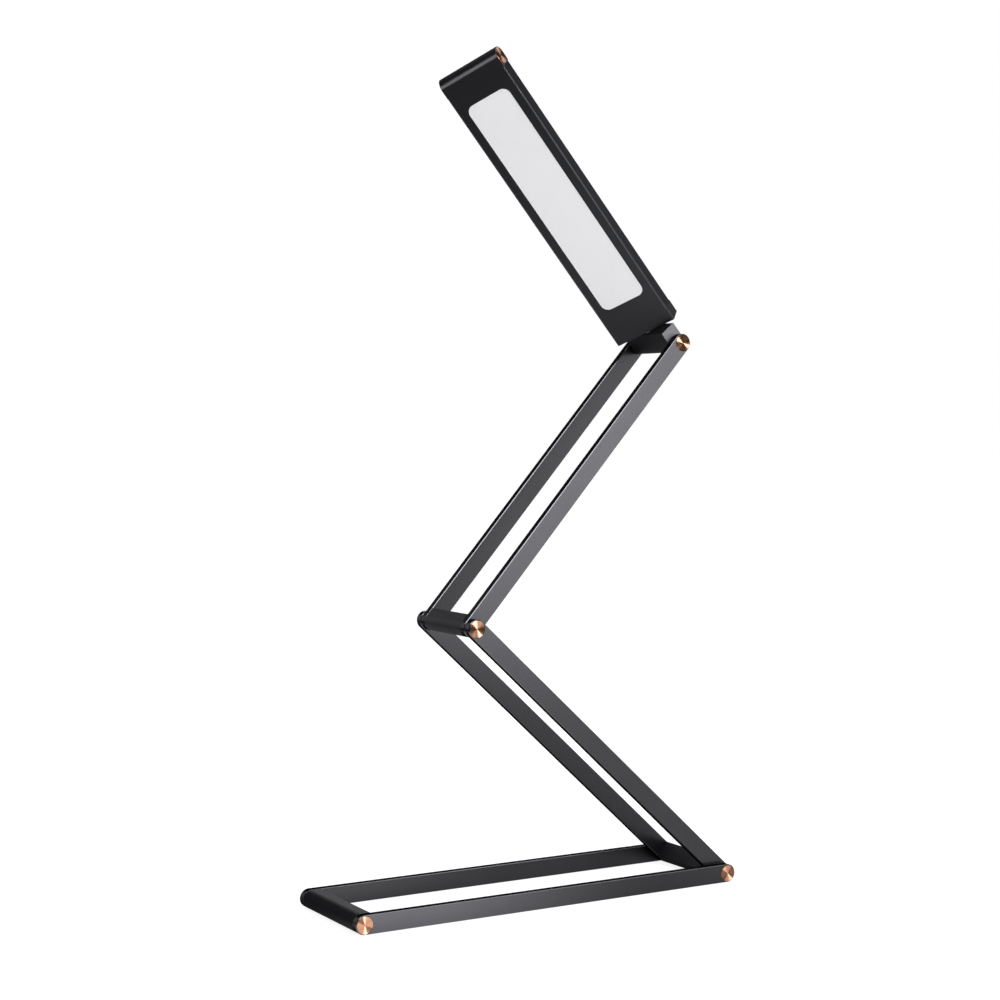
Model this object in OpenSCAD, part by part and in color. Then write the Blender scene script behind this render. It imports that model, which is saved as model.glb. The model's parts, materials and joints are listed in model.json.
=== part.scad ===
// Folding desk lamp made of nesting frames of flat bar, with a swivelling light head.
// Millimetres, +Z up. The origin is on the table, under the middle of the base frame.
// Arms are drawn along +X from their hinge, with the hinge axis along Y, and then put in place.

/* [Frame] */
// Distance from the axis of the base end bar to the base hinge
base_len = 227; // [150:0.1:320]
// Width of the light head, the innermost piece of the nest
head_w = 37.5; // [30:0.5:60]
// Height of every bar, and thickness of the folded lamp
rail_h = 10; // [9:0.5:16]
// Thickness of the flat bars
rail_t = 4.5; // [3.5:0.1:8]
// Gap between nested frames, at each side
nest_gap = 0.5; // [0.4:0.05:1.5]
// Bright chamfer along the edges of the bars
rail_chamfer = 0.3; // [0.1:0.05:0.6]
// How far a cross piece's flat side stands beyond the bar's half height
bar_extra = 0.3; // [0:0.1:3]
// Folded gap between the lower arm's end and the base end bar
base_end_gap = 1.1; // [0.5:0.1:10]
// Folded gap between the upper arm's end and the lower arm's block
lower_end_gap = 3.2; // [0.5:0.1:15]
// Folded gap between the head's tip and the upper arm's bar
head_end_gap = 6; // [0.5:0.1:20]

/* [Hinges] */
// Diameter of the hinge axles
axle_d = 4; // [3:0.1:5]
// Radial clearance of a piece that turns on an axle
run_clear = 0.05; // [0.02:0.01:0.1]
// Diameter of the friction washers
washer_d = 8; // [6:0.5:9]
// Play left beside a friction washer
washer_play = 0.1; // [0.05:0.01:0.3]
// Diameter of the blind dowels in the cross pieces
dowel_d = 1.8; // [1:0.1:2]
// Depth of a dowel in an arm rail
dowel_in_rail = 2.5; // [1:0.1:3]
// Depth of a dowel in a cross piece
dowel_in_bar = 5; // [2:0.5:10]

/* [Copper caps] */
// Width of the bar's rim round a cap
cap_rim = 0.3; // [0.2:0.05:1]
// Depth of the pocket that holds a cap
cap_pocket = 1; // [0.5:0.1:1.5]
// How far a cap stands out of its pocket
cap_proud = 0.15; // [0:0.05:0.3]
// Gap round a cap in its pocket
cap_clear = 0.05; // [0.02:0.01:0.1]
// Depth of the cap's turned dish
cap_dish = 0.12; // [0:0.02:0.3]
// Chamfer round the cap's face
cap_chamfer = 0.15; // [0.05:0.05:0.3]
// Diameter of the cap's stem
cap_stem_d = 2; // [1:0.1:2.5]
// Length of the cap's stem
cap_stem_len = 1.2; // [0.5:0.1:3]

/* [Base end screws] */
// Thread diameter of the base end screws
screw_d = 3; // [2.5:0.5:4]
// Length of screw inside the end bar
screw_in_bar = 8; // [4:1:20]
// Head diameter of the base end screws
screw_head_d = 5.5; // [5:0.1:7]
// Head height of the base end screws
screw_head_h = 1.8; // [1.5:0.1:2.2]
// Gap round the screw's head in the bar
screw_clear = 0.1; // [0.05:0.01:0.3]

/* [Neck and swivel] */
// Distance from the top hinge to the neck's flat end
neck_reach = 10.6; // [8:0.1:20]
// Gap between the neck and the head
neck_gap = 0.7; // [0.5:0.05:2]
// Diameter of the swivel stud
stud_d = 5; // [3:0.1:6]
// Metal between the top hinge's bore and the stud
stud_wall = 1.2; // [0.8:0.1:3]
// Diameter of the swivel's washers
swivel_washer_d = 7.4; // [6.5:0.1:7.6]
// Thickness of the spring washer inside the head
spring_washer_t = 0.5; // [0.3:0.05:1]
// Diameter of the swivel's round nut
nut_d = 7; // [6:0.1:7.6]
// Thickness of the swivel's nut
nut_t = 3; // [2:0.1:5]
// Length of stud past the nut
stud_tail = 0.5; // [0.2:0.1:2]

/* [Head body] */
// Length of the end piece that shows at the neck
plug_len = 8; // [5:0.5:15]
// Length of each end piece inside the body
tenon_len = 6; // [4:0.5:12]
// Thickness of the body's side walls
side_wall = 1.8; // [1.2:0.1:3]
// Thickness of the body's back wall
back_wall = 1.2; // [0.8:0.1:2]
// Width of the body's rim beside the face plate
face_rim = 0.8; // [0.5:0.1:1.2]
// Radius of the body's long back edges
back_round = 1.5; // [0.5:0.1:3]
// Chamfer of the end pieces
plug_chamfer = 0.4; // [0.2:0.1:1]
// Clearance of pieces that slide into the body
slip_clear = 0.05; // [0.02:0.01:0.2]
// Thread diameter of the screws in the back
back_screw_d = 2; // [1.6:0.1:2.5]
// Head diameter of the screws in the back
back_screw_head_d = 3.6; // [3:0.1:4.5]
// Length of a back screw inside an end piece
back_screw_len = 3; // [2:0.5:4]
// Distance of the back screws from the head's centre line
back_screw_side = 10; // [7:0.5:14]

/* [Light] */
// Thickness of the face plate
face_t = 1; // [0.6:0.1:1.5]
// Plain face between the neck end and the diffuser
window_near = 21.8; // [18:0.1:60]
// Plain face between the diffuser and the head's tip
window_far = 19.4; // [18:0.1:60]
// Plain face beside the diffuser
window_side = 5.25; // [4.5:0.05:9]
// Corner radius of the diffuser
window_round = 4.5; // [2:0.1:8]
// How deep the diffuser's front lies below the face plate
window_recess = 0.1; // [0:0.05:0.4]
// Width of the diffuser's flange behind the face plate
flange_w = 1.5; // [0.8:0.1:1.8]
// Thickness of the diffuser's flange
flange_t = 1; // [0.5:0.1:1.5]
// Thickness of the reflector sheet
sheet_t = 0.3; // [0.2:0.05:0.5]
// Thickness of the LED board at the light guide's edge
led_board_t = 1; // [0.6:0.1:1.2]
// Gap between the light guide and the LEDs
led_gap = 0.1; // [0.05:0.05:0.3]
// Height of an LED above its board
led_h = 0.5; // [0.3:0.05:0.6]
// Width of an LED along the board
led_w = 3; // [2:0.1:4]
// Distance from one LED to the next
led_pitch = 5.5; // [5:0.1:12]

/* [Electronics] */
// Height of the charging socket
socket_h = 3.2; // [2.6:0.1:3.5]
// Width of the charging socket
socket_w = 9; // [7:0.1:10]
// Depth of the charging socket
socket_deep = 7.3; // [5:0.1:9]
// Thickness of the socket's sheet metal
socket_wall = 0.3; // [0.2:0.05:0.4]
// Gap round the socket
socket_gap = 0.1; // [0.05:0.01:0.3]
// How far the socket's mouth lies below the side wall's face
socket_inset = 0.3; // [0:0.1:1]
// Thickness of the socket's inner tongue
tongue_t = 0.7; // [0.5:0.05:1]
// Thickness of the control board
board_t = 0.9; // [0.6:0.1:1.2]
// Length of the control board
board_len = 27; // [24:1:40]
// Gap between the control board and the battery
board_gap = 2; // [0.5:0.5:5]
// Gap between the stack's layers
stack_gap = 0.3; // [0.1:0.05:0.6]
// Radius of the battery's edges
battery_round = 0.8; // [0.3:0.1:1.5]
// Side clearance of the battery and the boards
cell_clear = 0.4; // [0.2:0.1:1]
// Diameter of the power button
button_d = 7; // [5:0.1:9]
// How far the button stands out of the back
button_proud = 0.2; // [0:0.05:0.6]
// Travel of the button
button_travel = 0.4; // [0.2:0.05:0.6]
// Width of the button's hidden flange
button_flange_w = 0.8; // [0.5:0.1:1.5]
// Thickness of the button's flange
button_flange_t = 0.6; // [0.3:0.05:0.8]
// Dish of the button's face
button_dish = 0.1; // [0:0.02:0.15]
// Gap round the button
button_clear = 0.08; // [0.03:0.01:0.1]
// Side of the switch's square body
switch_w = 6; // [4:0.1:7]

/* [Pose] */
// Angle that the lower arm is opened from the base frame
lower_open = 42.4; // [0:0.1:180]
// Angle that the upper arm is opened from the lower arm
upper_open = 90.9; // [0:0.1:180]
// Angle that the head is opened from the upper arm
head_open = 98.1; // [0:0.1:180]
// Turn of the head about its own length, from flat
head_twist = 36.4; // [0:0.1:180]

/* [Hidden] */
$fn = 64;
// Overrun of every cut past the face that it opens
over = 1;

// Half widths of the nested frames, from the inside out
head_half = head_w / 2;
upper_in = head_half + nest_gap;
upper_out = upper_in + rail_t;
lower_in = upper_out + nest_gap;
lower_out = lower_in + rail_t;
base_in = lower_out + nest_gap;
base_out = base_in + rail_t;

// Lengths that let each frame lie inside the next
rail_r = rail_h / 2;
bar_flat = rail_r + bar_extra;
lower_len = base_len - rail_r - bar_flat - base_end_gap;
upper_len = lower_len - rail_r - bar_flat - lower_end_gap;
head_tip = upper_len - bar_flat - head_end_gap;

// Hinges
axle_r = axle_d / 2;
run_r = axle_r + run_clear;
washer_t = nest_gap - washer_play;
dowel_x = (run_r + bar_flat) / 2;
cap_r = rail_r - cap_rim - cap_clear;

// Angles of the arms above +X, and the hinges' places
lower_angle = 180 - lower_open;
upper_angle = lower_angle - 180 + upper_open;
head_angle = upper_angle + 180 - head_open;
base_x = base_len / 2;
base_z = rail_r;
mid_x = base_x + lower_len * cos(lower_angle);
mid_z = base_z + lower_len * sin(lower_angle);
top_x = mid_x + upper_len * cos(upper_angle);
top_z = mid_z + upper_len * sin(upper_angle);

// Places along the head, measured from the top hinge
head_near = neck_reach + neck_gap;
shell_near = head_near + plug_len;
shell_far = head_tip - rail_h;
shell_len = shell_far - shell_near;
tip_axis = head_tip - rail_r;
window_0 = head_near + window_near;
window_1 = head_tip - window_far;
window_half = head_half - window_side;
flange_0 = window_0 - flange_w;
flange_1 = window_1 + flange_w;
flange_half = window_half + flange_w;
stud_0 = run_r + stud_wall;
nut_0 = shell_near + tenon_len + spring_washer_t + washer_play;
stud_1 = nut_0 + nut_t + stud_tail;
board_0 = stud_1 + board_gap;
board_1 = board_0 + board_len;
battery_0 = board_1 + board_gap;

// Heights inside the head, from its middle plane: +Z is the lit face
cavity_half = head_half - side_wall;
rebate_half = head_half - face_rim;
cavity_bottom = -rail_r + back_wall;
plate_bottom = rail_r - face_t;
flange_bottom = plate_bottom - flange_t;
socket_z = cavity_bottom + socket_gap + socket_h / 2;
board_z = cavity_bottom + socket_gap + socket_h;
sheet_z = board_z + board_t + stack_gap;
guide_z = sheet_z + sheet_t;
guide_t = flange_bottom - guide_z;
battery_t = sheet_z - stack_gap - cavity_bottom;
guide_half = cavity_half - led_board_t - led_h - led_gap;
button_x = board_0 + board_len / 2;
button_r = button_d / 2;
button_flange_z = cavity_bottom + button_clear;
switch_z = button_flange_z + button_flange_t + button_travel + button_clear;

// Places each arm's drawing at its hinge
module at_base() { translate([-base_x, 0, base_z]) children(); }
module at_lower() { translate([base_x, 0, base_z]) rotate([0, -lower_angle, 0]) children(); }
module at_upper() { translate([mid_x, 0, mid_z]) rotate([0, -upper_angle, 0]) children(); }
module at_neck() { translate([top_x, 0, top_z]) rotate([0, -head_angle, 0]) children(); }
module at_head() { at_neck() rotate([head_twist, 0, 0]) children(); }
module front() { mirror([0, 1, 0]) children(); }
module both_sides() { children(); front() children(); }

// A turned piece along +Y: points are radius and distance along the axis
module turned(points) { rotate([-90, 0, 0]) rotate_extrude() polygon(points); }

// A round hole or rod along +Y from y0 to y1
module rod_y(x, y0, y1, r) { translate([x, y0, 0]) rotate([-90, 0, 0]) cylinder(h = y1 - y0, r = r); }

// A round hole or rod along +X from x0 to x1
module rod_x(x0, x1, r) { translate([x0, 0, 0]) rotate([0, 90, 0]) cylinder(h = x1 - x0, r = r); }

// Flat bar with round ends, its inner face at y = 0 and its edges chamfered
module rail_blank(length) {
    c = rail_chamfer;
    rotate([90, 0, 90]) linear_extrude(length) polygon([
        [0, c - rail_r], [c, -rail_r], [rail_t - c, -rail_r], [rail_t, c - rail_r],
        [rail_t, rail_r - c], [rail_t - c, rail_r], [c, rail_r], [0, rail_r - c]
    ]);
    for (x = [0, length]) translate([x, 0, 0]) turned([
        [0, 0], [rail_r - c, 0], [rail_r, c], [rail_r, rail_t - c], [rail_r - c, rail_t], [0, rail_t]
    ]);
}

// Pocket for a copper cap, opening at the outer face of a bar at y = outer
module cap_cut(x, outer) { rod_y(x, outer - cap_pocket, outer + over, cap_r + cap_clear); }

// Copper cap at an outer face: a dished disc with a stem
module cap(x, outer) {
    front_y = cap_pocket + cap_proud;
    translate([x, outer - cap_pocket, 0]) turned([
        [0, -cap_stem_len], [cap_stem_d / 2, -cap_stem_len], [cap_stem_d / 2, 0], [cap_r, 0],
        [cap_r, front_y - cap_chamfer], [cap_r - cap_chamfer, front_y], [0, front_y - cap_dish]
    ]);
}

// Hinge axle between the cap pockets of two outer rails, drilled for the caps' stems
module axle(x, outer) {
    end_y = outer - cap_pocket;
    difference() {
        rod_y(x, -end_y, end_y, axle_r);
        both_sides() rod_y(x, end_y - cap_stem_len, end_y + over, cap_stem_d / 2);
    }
}

// Friction washer on each side of the inner piece of a hinge
module washers(inner_piece) {
    both_sides() difference() {
        rod_y(0, inner_piece, inner_piece + washer_t, washer_d / 2);
        rod_y(0, inner_piece - over, inner_piece + washer_t + over, run_r);
    }
}

// Cross piece with a round back and a flat front at x = reach, centred on y = 0
module d_bar(half_width, reach) {
    c = rail_chamfer;
    translate([0, half_width, 0]) rotate([90, 0, 0]) linear_extrude(2 * half_width) {
        circle(r = rail_r);
        polygon([[0, -rail_r], [reach - c, -rail_r], [reach, c - rail_r],
                 [reach, rail_r - c], [reach - c, rail_r], [0, rail_r]]);
    }
}

// Blind dowels between a cross piece and the rails beside it
module dowels(half_width, r) {
    both_sides() rod_y(dowel_x, half_width - dowel_in_bar, half_width + dowel_in_rail, r);
}

// Base rail: a pocket, a counterbored screw hole and a hinge bore
module base_rail() {
    head_y = base_out - cap_pocket - screw_head_h;
    difference() {
        translate([0, base_in, 0]) rail_blank(base_len);
        for (x = [0, base_len]) cap_cut(x, base_out);
        rod_y(0, base_in - over, base_out, screw_d / 2 + screw_clear);
        rod_y(0, head_y, base_out, screw_head_d / 2 + screw_clear);
        rod_y(base_len, base_in - over, base_out, axle_r);
    }
}

// Arm rail: runs on the axle at its lower end and holds the axle at its upper end
module arm_rail(inner, length) {
    outer = inner + rail_t;
    difference() {
        translate([0, inner, 0]) rail_blank(length);
        rod_y(0, inner - over, outer + over, run_r);
        rod_y(dowel_x, inner - over, inner + dowel_in_rail, dowel_d / 2);
        rod_y(length, inner - over, outer, axle_r);
        cap_cut(length, outer);
    }
}

// Cross piece of an arm, bored for its hinge axle and its dowels
module arm_bar(half_width) {
    difference() {
        d_bar(half_width, bar_flat);
        rod_y(0, -half_width - over, half_width + over, run_r);
        dowels(half_width, dowel_d / 2);
    }
}

module base_rail_front() { color("#5b5d60") at_base() front() base_rail(); }
module base_rail_back() { color("#5b5d60") at_base() base_rail(); }

module base_end_bar() {
    color("#3a3b3e") at_base() difference() {
        d_bar(base_in, bar_flat);
        both_sides() rod_y(0, base_in - screw_in_bar, base_in + over, screw_d / 2);
    }
}

module base_end_screws() {
    floor_y = base_out - cap_pocket;
    color("silver") at_base() both_sides() difference() {
        union() {
            rod_y(0, base_in - screw_in_bar, floor_y - screw_head_h, screw_d / 2);
            rod_y(0, floor_y - screw_head_h, floor_y, screw_head_d / 2);
        }
        rod_y(0, floor_y - cap_stem_len, floor_y + over, cap_stem_d / 2);
    }
}

module base_end_caps() { color("#c98a6a") at_base() both_sides() cap(0, base_out); }
module base_hinge_axle() { color("silver") at_base() axle(base_len, base_out); }
module base_hinge_caps() { color("#c98a6a") at_base() both_sides() cap(base_len, base_out); }
module base_hinge_washers() { color("#d8d4c8") at_lower() washers(lower_out); }

module lower_rail_front() { color("#4b4c4f") at_lower() front() arm_rail(lower_in, lower_len); }
module lower_rail_back() { color("#4b4c4f") at_lower() arm_rail(lower_in, lower_len); }
module lower_hinge_block() { color("#2f3033") at_lower() arm_bar(lower_in); }
module lower_block_dowels() { color("silver") at_lower() dowels(lower_in, dowel_d / 2); }
module mid_hinge_axle() { color("silver") at_lower() axle(lower_len, lower_out); }
module mid_hinge_caps() { color("#c98a6a") at_lower() both_sides() cap(lower_len, lower_out); }
module mid_hinge_washers() { color("#d8d4c8") at_upper() washers(upper_out); }

module upper_rail_front() { color("#7a7b7e") at_upper() front() arm_rail(upper_in, upper_len); }
module upper_rail_back() { color("#7a7b7e") at_upper() arm_rail(upper_in, upper_len); }
module upper_cross_bar() { color("#2f3033") at_upper() arm_bar(upper_in); }
module upper_bar_dowels() { color("silver") at_upper() dowels(upper_in, dowel_d / 2); }
module top_hinge_axle() { color("silver") at_upper() axle(upper_len, upper_out); }
module top_hinge_caps() { color("#c98a6a") at_upper() both_sides() cap(upper_len, upper_out); }
module top_hinge_washers() { color("#d8d4c8") at_neck() washers(head_half); }

module neck_block() {
    color("#6e6f73") at_neck() difference() {
        d_bar(head_half, neck_reach);
        rod_y(0, -head_half - over, head_half + over, run_r);
        rod_x(stud_0, neck_reach + over, stud_d / 2);
    }
}

module swivel_stud() { color("silver") at_neck() rod_x(stud_0, stud_1, stud_d / 2); }

// Ring on the swivel stud from x0 to x1
module stud_ring(x0, x1, d) {
    difference() {
        rod_x(x0, x1, d / 2);
        rod_x(x0 - over, x1 + over, stud_d / 2);
    }
}

module swivel_nut() { color("silver") at_neck() stud_ring(nut_0, nut_0 + nut_t, nut_d); }

module swivel_washer() {
    color("#d8d4c8") at_neck() stud_ring(neck_reach, head_near - washer_play, swivel_washer_d);
}

module swivel_spring_washer() {
    color("silver") at_neck() stud_ring(nut_0 - spring_washer_t, nut_0, swivel_washer_d);
}

// Outline across the head: round back edges, chamfered front edges
module head_section() {
    r = back_round;
    c = rail_chamfer;
    polygon([[-head_half, r - rail_r], [head_half, r - rail_r], [head_half, rail_r - c],
             [head_half - c, rail_r], [c - head_half, rail_r], [-head_half, rail_r - c]]);
    translate([r - head_half, -rail_r]) square([head_w - 2 * r, r]);
    for (s = [-1, 1]) translate([s * (head_half - r), r - rail_r]) circle(r = r);
}

// An outline across the head, drawn from x0 to x1 along it
module along_head(x0, x1) { translate([x0, 0, 0]) rotate([90, 0, 90]) linear_extrude(x1 - x0) children(); }

// A plate parallel to the lit face, from z0 to z1
module layer(z0, z1) { translate([0, 0, z0]) linear_extrude(z1 - z0) children(); }

// Rectangle from x0 to x1, half_w to each side, with round corners
module round_rect(x0, x1, half_w, r) {
    translate([x0 + r, -half_w]) square([x1 - x0 - 2 * r, 2 * half_w]);
    translate([x0, r - half_w]) square([x1 - x0, 2 * (half_w - r)]);
    for (x = [x0 + r, x1 - r], y = [r - half_w, half_w - r]) translate([x, y]) circle(r = r);
}

// Part of an end piece that slides into the body
module tenon(x0, x1) {
    half = cavity_half - slip_clear;
    z0 = cavity_bottom + slip_clear;
    along_head(x0, x1) translate([-half, z0]) square([2 * half, plate_bottom - slip_clear - z0]);
}

// Countersunk back screw at one place, its head flush with the back
module back_screw(x, y) {
    head_h = (back_screw_head_d - back_screw_d) / 2;
    translate([x, y, -rail_r]) {
        cylinder(h = head_h, d1 = back_screw_head_d, d2 = back_screw_d);
        cylinder(h = back_wall + back_screw_len, d = back_screw_d);
    }
}

module back_screws() {
    for (x = [shell_near + tenon_len / 2, shell_far - tenon_len / 2],
         y = [-back_screw_side, back_screw_side]) back_screw(x, y);
}

// Outline of the charging socket across its mouth, grown by extra
module socket_outline(extra) {
    r = socket_h / 2 + extra;
    straight = socket_w - socket_h;
    translate([-straight / 2, -r]) square([straight, 2 * r]);
    for (s = [-1, 1]) translate([s * straight / 2, 0]) circle(r = r);
}

// The socket's outline drawn along +Y from y0 to y1 at its place in the head
module along_socket(y0, y1) {
    translate([button_x, y1, socket_z]) rotate([90, 0, 0]) linear_extrude(y1 - y0) children();
}

module head_shell() {
    color("#1d1e21") at_head() difference() {
        along_head(shell_near, shell_far) difference() {
            head_section();
            translate([-cavity_half, cavity_bottom]) square([2 * cavity_half, rail_h]);
            translate([-rebate_half, plate_bottom]) square([2 * rebate_half, rail_h]);
        }
        back_screws();
        along_socket(cavity_half - over, head_half + over) socket_outline(socket_gap);
        translate([button_x, 0, -rail_r - over])
            cylinder(h = back_wall + 2 * over, r = button_r + button_clear);
    }
}

module head_end_plug() {
    c = plug_chamfer;
    color("#141416") at_head() difference() {
        union() {
            along_head(head_near, shell_near) polygon([
                [-head_half, c - rail_r], [c - head_half, -rail_r], [head_half - c, -rail_r],
                [head_half, c - rail_r], [head_half, rail_r - c], [head_half - c, rail_r],
                [c - head_half, rail_r], [-head_half, rail_r - c]
            ]);
            tenon(shell_near, shell_near + tenon_len);
        }
        rod_x(head_near - over, shell_near + tenon_len + over, stud_d / 2 + run_clear);
        back_screws();
    }
}

module head_tip_bar() {
    color("#0e0e10") at_head() difference() {
        union() {
            translate([tip_axis, head_half, 0]) rotate([90, 0, 0]) linear_extrude(head_w) {
                circle(r = rail_r);
                translate([-rail_r, -rail_r]) square([rail_r, rail_h]);
            }
            tenon(shell_far - tenon_len, shell_far);
        }
        both_sides() {
            cap_cut(tip_axis, head_half);
            rod_y(tip_axis, head_half - cap_pocket - cap_stem_len, head_half, cap_stem_d / 2);
        }
        back_screws();
    }
}

module head_end_caps() { color("#c98a6a") at_head() both_sides() cap(tip_axis, head_half); }
module head_back_screws() { color("#3a3b3e") at_head() back_screws(); }

module head_face_plate() {
    half = rebate_half - slip_clear;
    color("#26272a") at_head() layer(plate_bottom, rail_r) difference() {
        translate([shell_near, -half]) square([shell_len, 2 * half]);
        round_rect(window_0, window_1, window_half, window_round);
    }
}

module diffuser() {
    gap = slip_clear;
    color("#e6e7ea") at_head() {
        layer(flange_bottom, plate_bottom)
            round_rect(flange_0, flange_1, flange_half, window_round + flange_w);
        layer(plate_bottom, rail_r - window_recess)
            round_rect(window_0 + gap, window_1 - gap, window_half - gap, window_round - gap);
    }
}

module light_guide() {
    color("#cfe3ea") at_head() layer(guide_z, flange_bottom)
        translate([flange_0, -guide_half]) square([flange_1 - flange_0, 2 * guide_half]);
}

module reflector_sheet() {
    color("white") at_head() layer(sheet_z, guide_z)
        translate([flange_0, -guide_half]) square([flange_1 - flange_0, 2 * guide_half]);
}

// Strip board along the light guide's edge, with its row of LEDs
module led_board() {
    length = flange_1 - flange_0;
    back_y = cavity_half - slip_clear;
    count = floor((length - led_w) / led_pitch) + 1;
    first = flange_0 + (length - (count - 1) * led_pitch - led_w) / 2;
    color("#e9e4c9") at_head() {
        translate([flange_0, back_y - led_board_t, sheet_z])
            cube([length, led_board_t, flange_bottom - sheet_z]);
        for (i = [0 : count - 1])
            translate([first + i * led_pitch, back_y - led_board_t - led_h, guide_z])
                cube([led_w, led_h, guide_t]);
    }
}

module battery() {
    half = cavity_half - cell_clear;
    r = battery_round;
    color("#9fa3a8") at_head() along_head(battery_0, flange_1) {
        translate([-half, cavity_bottom + r]) square([2 * half, battery_t - 2 * r]);
        translate([r - half, cavity_bottom]) square([2 * (half - r), battery_t]);
        for (y = [r - half, half - r], z = [cavity_bottom + r, cavity_bottom + battery_t - r])
            translate([y, z]) circle(r = r);
    }
}

module control_board() {
    half = cavity_half - cell_clear;
    color("#1f5c3a") at_head() layer(board_z, board_z + board_t)
        translate([board_0, -half]) square([board_len, 2 * half]);
}

module push_switch() {
    color("#303236") at_head() layer(switch_z, board_z)
        translate([button_x - switch_w / 2, -switch_w / 2]) square(switch_w);
}

// Charging socket: a shell open at its mouth, with an inner tongue
module charging_socket() {
    mouth = head_half - socket_inset;
    back = mouth - socket_deep;
    tongue_w = socket_w - socket_h;
    color("silver") at_head() {
        difference() {
            along_socket(back, mouth) socket_outline(0);
            along_socket(back + socket_wall, mouth + over) socket_outline(-socket_wall);
        }
        along_socket(back, mouth - socket_wall) translate([-tongue_w / 2, -tongue_t / 2])
            square([tongue_w, tongue_t]);
    }
}

module power_button() {
    flange_r = button_r + button_flange_w;
    color("#2a2b2e") at_head() translate([button_x, 0, 0]) rotate_extrude() polygon([
        [0, button_dish - rail_r - button_proud], [button_r, -rail_r - button_proud],
        [button_r, button_flange_z], [flange_r, button_flange_z],
        [flange_r, button_flange_z + button_flange_t], [0, button_flange_z + button_flange_t]
    ]);
}

base_rail_front();
base_rail_back();
base_end_bar();
base_end_screws();
base_end_caps();
base_hinge_axle();
base_hinge_caps();
base_hinge_washers();
lower_rail_front();
lower_rail_back();
lower_hinge_block();
lower_block_dowels();
mid_hinge_axle();
mid_hinge_caps();
mid_hinge_washers();
upper_rail_front();
upper_rail_back();
upper_cross_bar();
upper_bar_dowels();
top_hinge_axle();
top_hinge_caps();
top_hinge_washers();
neck_block();
swivel_stud();
swivel_nut();
swivel_washer();
swivel_spring_washer();
head_shell();
head_end_plug();
head_tip_bar();
head_end_caps();
head_back_screws();
head_face_plate();
diffuser();
light_guide();
reflector_sheet();
led_board();
battery();
control_board();
push_switch();
charging_socket();
power_button();
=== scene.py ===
import json
import math

import bpy
import numpy as np
from mathutils import Matrix, Vector


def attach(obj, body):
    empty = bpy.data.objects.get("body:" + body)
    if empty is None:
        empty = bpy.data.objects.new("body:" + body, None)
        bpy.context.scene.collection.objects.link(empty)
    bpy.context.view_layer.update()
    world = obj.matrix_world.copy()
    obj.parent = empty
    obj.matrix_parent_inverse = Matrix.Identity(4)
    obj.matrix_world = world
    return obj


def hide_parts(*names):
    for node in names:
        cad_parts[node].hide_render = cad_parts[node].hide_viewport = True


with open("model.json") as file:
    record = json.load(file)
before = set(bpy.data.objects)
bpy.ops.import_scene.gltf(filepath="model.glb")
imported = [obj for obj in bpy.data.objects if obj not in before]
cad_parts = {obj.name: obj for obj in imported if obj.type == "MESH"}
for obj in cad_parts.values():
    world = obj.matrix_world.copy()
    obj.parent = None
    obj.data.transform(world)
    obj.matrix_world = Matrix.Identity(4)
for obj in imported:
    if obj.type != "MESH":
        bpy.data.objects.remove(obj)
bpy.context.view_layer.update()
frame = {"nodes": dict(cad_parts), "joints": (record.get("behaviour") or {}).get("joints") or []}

# Lengths are in metres, angles in degrees and colours linear
MM = 0.001
JOINTS = {joint["name"]: joint for joint in frame["joints"]}
NODES = frame["nodes"]

# The photograph's camera
CAMERA_AT = Vector((-0.55253, -0.91312, 0.25884))
CAMERA_YAW = 30.480
CAMERA_PITCH = -2.317
CAMERA_ROLL = 0.052
LENS = 70.883
SENSOR = 36

# Hinge places and the head's own axes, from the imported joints
BASE_HINGE = Vector(JOINTS["base_hinge"]["pos_m"])
MID_HINGE = Vector(JOINTS["mid_hinge"]["pos_m"])
TOP_HINGE = Vector(JOINTS["top_hinge"]["pos_m"])
X_AXIS = Vector((1, 0, 0))
Y_AXIS = Vector((0, 1, 0))
HINGE_AXES = (Vector((0, 0, 1)), Vector((1, 0, 0)), Vector((0, 1, 0)))
HEAD_X = Vector(JOINTS["head_swivel"]["axis"]).normalized()
HEAD_Z = Vector(JOINTS["power_press"]["axis"]).normalized()
HEAD_Y = HEAD_Z.cross(HEAD_X).normalized()
HEAD_AXES = (HEAD_X, HEAD_Y, HEAD_Z)
HEAD_SIDE_AXES = (HEAD_Z, HEAD_X, HEAD_Y)
HEAD_BACK_AXES = (HEAD_X, -HEAD_Y, -HEAD_Z)


def plain_camera():
    data = bpy.data.cameras.new("camera")
    data.lens, data.sensor_width = LENS, SENSOR
    data.clip_start, data.clip_end = 0.01, 100
    yaw, pitch, roll = (math.radians(a) for a in (CAMERA_YAW, CAMERA_PITCH, CAMERA_ROLL))
    forward = Vector((math.sin(yaw) * math.cos(pitch), math.cos(yaw) * math.cos(pitch), math.sin(pitch)))
    right = Vector((math.cos(yaw), -math.sin(yaw), 0))
    up = right.cross(forward)
    across = right * math.cos(roll) + up * math.sin(roll)
    above = up * math.cos(roll) - right * math.sin(roll)
    camera = bpy.data.objects.new("camera", data)
    turn = Matrix((across, above, -forward)).transposed().to_4x4()
    camera.matrix_world = Matrix.Translation(CAMERA_AT) @ turn
    bpy.context.scene.collection.objects.link(camera)
    bpy.context.scene.camera = camera
    bpy.context.scene.view_settings.view_transform = "Standard"


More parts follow.
